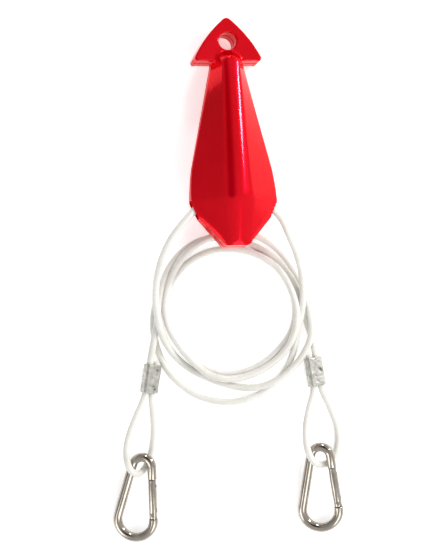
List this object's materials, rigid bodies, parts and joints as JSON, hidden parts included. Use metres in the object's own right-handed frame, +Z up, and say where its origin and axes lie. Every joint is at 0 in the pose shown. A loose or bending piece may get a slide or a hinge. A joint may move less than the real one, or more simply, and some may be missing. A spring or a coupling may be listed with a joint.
{
  "type": "tow harness",
  "caption": "Boat tow harness: red arrow-headed float with a tow hole and an inner sheave, coated wire rope in a loose coil, and a sprung snap hook crimped to each rope end.",
  "frame": {"origin": "under the middle of the float's box, on the table that the harness lies on", "axes": "+Z up from the table, +Y along the float towards its arrow-shaped head, +X across it; the float lies rolled 13 degrees about its length with its tail raised 6 degrees"},
  "size_m": [0.2012, 0.4555, 0.0573],
  "materials": {
    "red_plastic": "gloss moulded polyethylene",
    "foam": "closed-cell foam",
    "sheave_plastic": "acetal",
    "bronze": "turned",
    "stainless": "polished",
    "stainless_dull": "machined",
    "coated_rope": "smooth white coating over wire",
    "ferrule_alloy": "pressed"
  },
  "bodies": {
    "float": {"float_upper_shell": "red_plastic", "float_lower_shell": "red_plastic", "foam_core_upper": "foam", "foam_core_lower": "foam", "shell_screws": "stainless_dull", "sheave_axle": "stainless_dull", "axle_washers": "stainless_dull", "cable_in_float": "coated_rope", "cable_left_arm": "coated_rope", "cable_right_arm": "coated_rope", "cable_coil": "coated_rope", "cable_left_tail": "coated_rope", "cable_right_tail": "coated_rope", "cable_left_eye": "coated_rope", "cable_right_eye": "coated_rope", "ferrule_left": "ferrule_alloy", "ferrule_right": "ferrule_alloy"},
    "sheave": {"sheave": "sheave_plastic", "sheave_bush": "bronze"},
    "left_hook": {"left_hook_body": "stainless"},
    "left_gate": {"left_gate": "stainless", "left_gate_rivet": "stainless", "left_latch_pin": "stainless", "left_gate_plunger": "stainless_dull", "left_gate_spring": "stainless_dull"},
    "right_hook": {"right_hook_body": "stainless"},
    "right_gate": {"right_gate": "stainless", "right_gate_rivet": "stainless", "right_latch_pin": "stainless", "right_gate_plunger": "stainless_dull", "right_gate_spring": "stainless_dull"}
  },
  "joints": [
    {"name": "sheave_spin", "type": "hinge", "parent": "float", "child": "sheave", "pos_m": [-0.00036, -0.05185, 0.03241], "axis": [0.2193, 0.1135, 0.969], "continuous": true},
    {"name": "left_hook_swing", "type": "hinge", "parent": "float", "child": "left_hook", "pos_m": [-0.08035, -0.29448, 0.01243], "axis": [0, 0, 1], "range_deg": [-35, 25]},
    {"name": "left_gate_open", "type": "hinge", "parent": "left_hook", "child": "left_gate", "pos_m": [-0.0694, -0.33075, 0.01056], "axis": [-0.1715, -0.108, 0.9792], "range_deg": [0, 24], "stiffness_Nm_per_rad": 0.4, "springref_deg": -22.92},
    {"name": "right_hook_swing", "type": "hinge", "parent": "float", "child": "right_hook", "pos_m": [0.07594, -0.28745, 0.01241], "axis": [0, 0, 1], "range_deg": [-35, 20]},
    {"name": "right_gate_open", "type": "hinge", "parent": "right_hook", "child": "right_gate", "pos_m": [0.09139, -0.32008, 0.01056], "axis": [-0.1548, -0.1308, 0.9792], "range_deg": [0, 24], "stiffness_Nm_per_rad": 0.4, "springref_deg": -22.92}
  ]
}
